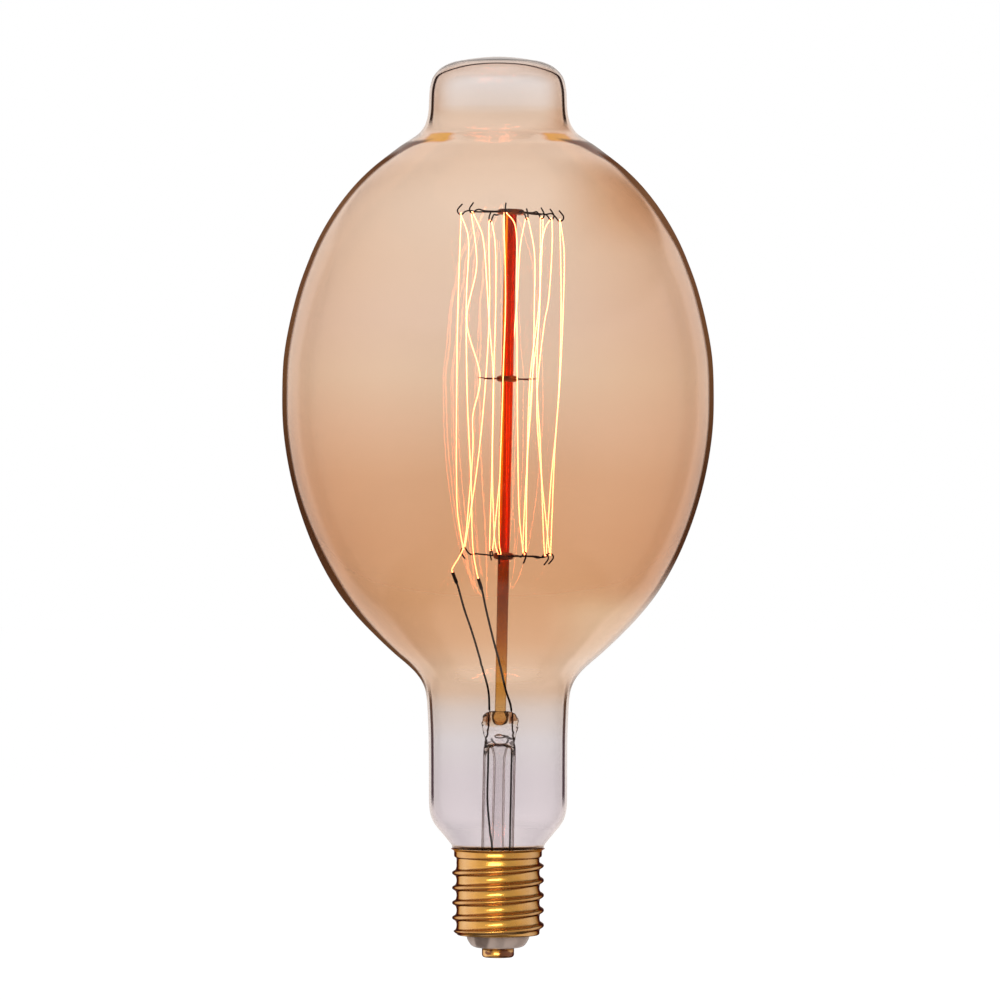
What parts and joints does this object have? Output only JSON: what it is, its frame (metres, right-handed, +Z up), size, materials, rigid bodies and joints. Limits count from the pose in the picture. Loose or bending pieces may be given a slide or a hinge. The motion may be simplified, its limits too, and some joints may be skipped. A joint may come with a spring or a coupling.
{
  "type": "filament lamp",
  "caption": "Large decorative filament lamp with a knobbed amber glass bulb, a zigzag filament on a glass rod and a brass screw cap.",
  "frame": {"origin": "on the lamp's axis, at the flat bottom of the centre contact, its lowest point", "axes": "+Z up along the axis, from the contact to the knob; the picture looks along +Y, with +X to its right"},
  "size_m": [0.1836, 0.1836, 0.3825],
  "materials": {
    "amber_glass": "clear blown glass with an amber coating, fading to clear in the neck",
    "stem_glass": "clear drawn glass",
    "rod_glass": "clear glass rod, lit red by the filament",
    "bead_glass": "dark fused glass",
    "filament": "fine coiled wire, glowing when lit",
    "dark_wire": "dark oxidised wire",
    "fine_wire": "fine dark wire",
    "seal_wire": "copper-clad sealing wire",
    "copper_wire": "bare lead wire",
    "brass": "bright rolled sheet",
    "cap_glass": "dark smoky cast glass",
    "solder": "dull soft solder",
    "cement": "matt mineral cement"
  },
  "bodies": {
    "root": {"bulb_glass": "amber_glass", "stem_flare": "stem_glass", "pinch_seal": "stem_glass", "exhaust_tube": "stem_glass", "centre_rod": "rod_glass", "top_button": "bead_glass", "middle_collar": "bead_glass", "lower_collar": "bead_glass", "filament": "filament", "top_hook_1": "dark_wire", "top_hook_2": "dark_wire", "top_hook_3": "dark_wire", "top_hook_4": "dark_wire", "top_hook_5": "dark_wire", "top_hook_6": "dark_wire", "top_hook_7": "dark_wire", "top_hook_8": "dark_wire", "middle_wire_1": "fine_wire", "middle_wire_2": "fine_wire", "middle_wire_3": "fine_wire", "middle_wire_4": "fine_wire", "lower_hook_1": "dark_wire", "lower_hook_2": "dark_wire", "lower_hook_3": "dark_wire", "lower_hook_4": "dark_wire", "lower_hook_5": "dark_wire", "lower_hook_6": "dark_wire", "lower_hook_7": "dark_wire", "left_inner_lead": "dark_wire", "right_inner_lead": "dark_wire", "left_sleeve": "dark_wire", "right_sleeve": "dark_wire", "left_seal_wire": "seal_wire", "right_seal_wire": "seal_wire", "side_lead": "copper_wire", "contact_lead": "copper_wire", "cap_shell": "brass", "cap_insulator": "cap_glass", "centre_contact": "brass", "contact_solder": "solder", "side_solder": "solder", "capping_cement": "cement"}
  },
  "joints": []
}
